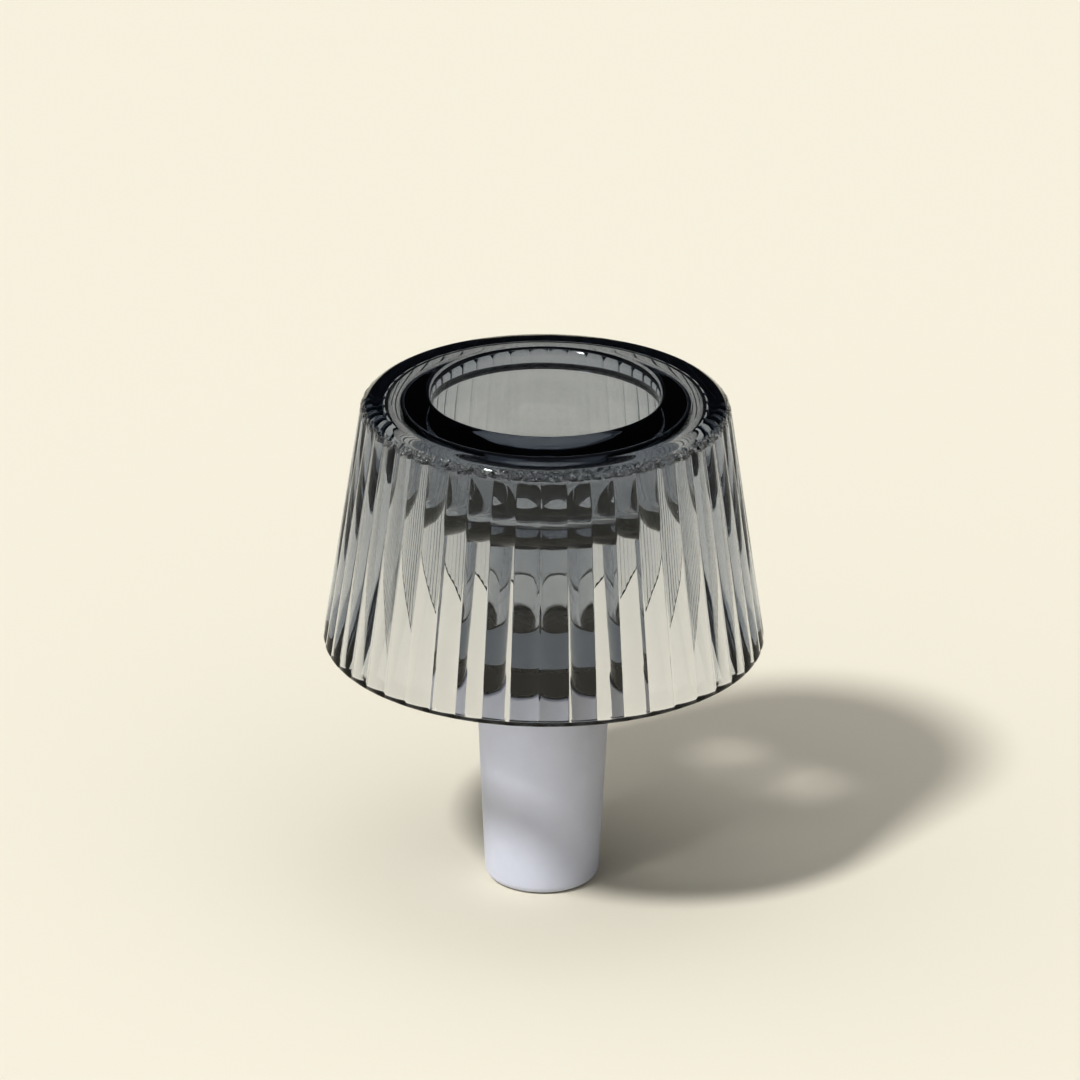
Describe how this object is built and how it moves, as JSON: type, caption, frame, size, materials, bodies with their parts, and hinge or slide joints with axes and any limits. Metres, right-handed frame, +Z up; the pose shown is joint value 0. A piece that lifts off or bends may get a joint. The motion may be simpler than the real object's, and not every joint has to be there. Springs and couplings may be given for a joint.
{
  "type": "tealight holder",
  "caption": "Smoky pressed-glass tealight holder with a fluted, shade-shaped head on a tapered silicone stopper stem that stands on a table or plugs a bottle",
  "frame": {"origin": "centre of the stem's flat underside, on the surface that the holder stands on", "axes": "+Z up the symmetry axis, from the foot to the tealight cup"},
  "size_m": [0.0756, 0.0756, 0.0899],
  "materials": {
    "smoky_glass": "clear, fire-polished pressed glass with a smoky grey tint",
    "grey_silicone": "matt moulded silicone"
  },
  "bodies": {
    "head": {"glass_head": "smoky_glass"},
    "sleeve": {"stopper_sleeve": "grey_silicone"}
  },
  "joints": [
    {"name": "sleeve_pull", "type": "slide", "parent": "head", "child": "sleeve", "axis": [0, 0, -1], "range_m": [0, 0.045]}
  ]
}
